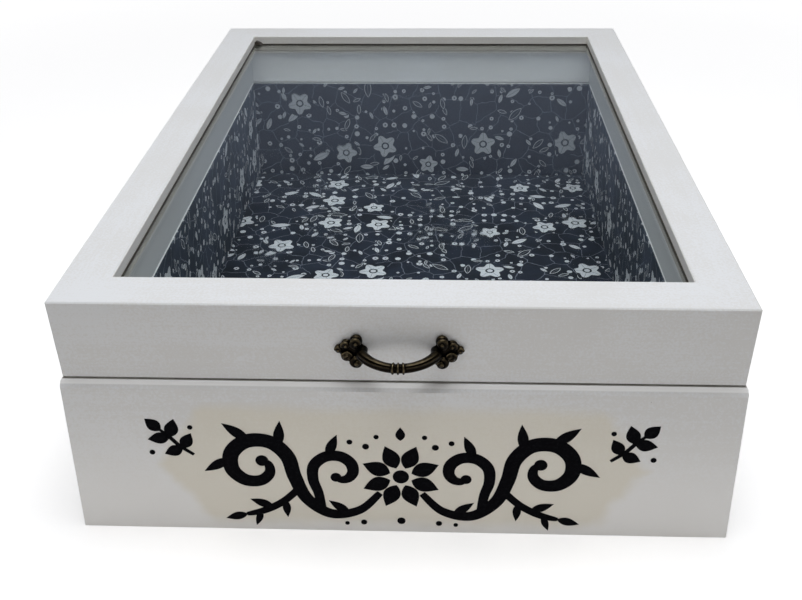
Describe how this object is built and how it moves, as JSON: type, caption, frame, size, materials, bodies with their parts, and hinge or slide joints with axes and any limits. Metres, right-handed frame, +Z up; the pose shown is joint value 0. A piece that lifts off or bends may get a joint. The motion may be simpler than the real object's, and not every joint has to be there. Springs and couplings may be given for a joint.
{
  "type": "hinged-lid tea box",
  "caption": "Rectangular wooden tea box with a glazed hinged lid, a cast bow pull on the lid's front board and patterned paper lining inside the base.",
  "frame": {"origin": "centre of the underside, in the plane of the surface the box stands on", "axes": "+X to the right along the front board, +Y from the front board to the hinged back, +Z up; the lid is closed at rest"},
  "size_m": [0.25, 0.3613, 0.102],
  "materials": {
    "white_paint": "white chalk paint brushed over wood, dull satin",
    "black_paint": "matt black paint stencilled on the front board",
    "raw_plywood": "bare birch plywood",
    "lining_paper": "printed card, dark navy with pale grey motifs",
    "window_glass": "clear float glass",
    "bead_wood": "thin grey-brown wash on wood",
    "glazing_sealant": "dark brown-black sealant",
    "antique_bronze": "cast, dark antique bronze with rubbed highlights",
    "hinge_brass": "brass-plated, satin",
    "screw_steel": "brass-plated steel"
  },
  "bodies": {
    "base": {"base_front_board": "white_paint", "base_back_board": "white_paint", "base_left_board": "white_paint", "base_right_board": "white_paint", "base_floor_panel": "raw_plywood", "lining_floor": "lining_paper", "lining_front": "lining_paper", "lining_back": "lining_paper", "lining_left": "lining_paper", "lining_right": "lining_paper", "hinge_left_base_leaf": "hinge_brass", "hinge_right_base_leaf": "hinge_brass", "hinge_left_pin": "hinge_brass", "hinge_right_pin": "hinge_brass", "base_hinge_screws": "screw_steel"},
    "lid": {"lid_front_board": "white_paint", "lid_back_board": "white_paint", "lid_left_board": "white_paint", "lid_right_board": "white_paint", "glass_bead_front": "bead_wood", "glass_bead_back": "bead_wood", "glass_bead_left": "bead_wood", "glass_bead_right": "bead_wood", "glazing_seal": "glazing_sealant", "glass_pane": "window_glass", "pull_handle": "antique_bronze", "hinge_left_lid_leaf": "hinge_brass", "hinge_right_lid_leaf": "hinge_brass", "lid_hinge_screws": "screw_steel", "handle_screws": "screw_steel"}
  },
  "joints": [
    {"name": "lid_hinge", "type": "hinge", "parent": "base", "child": "lid", "pos_m": [0, 0.1726, 0.0685], "axis": [-1, 0, 0], "range_deg": [0, 98]}
  ]
}
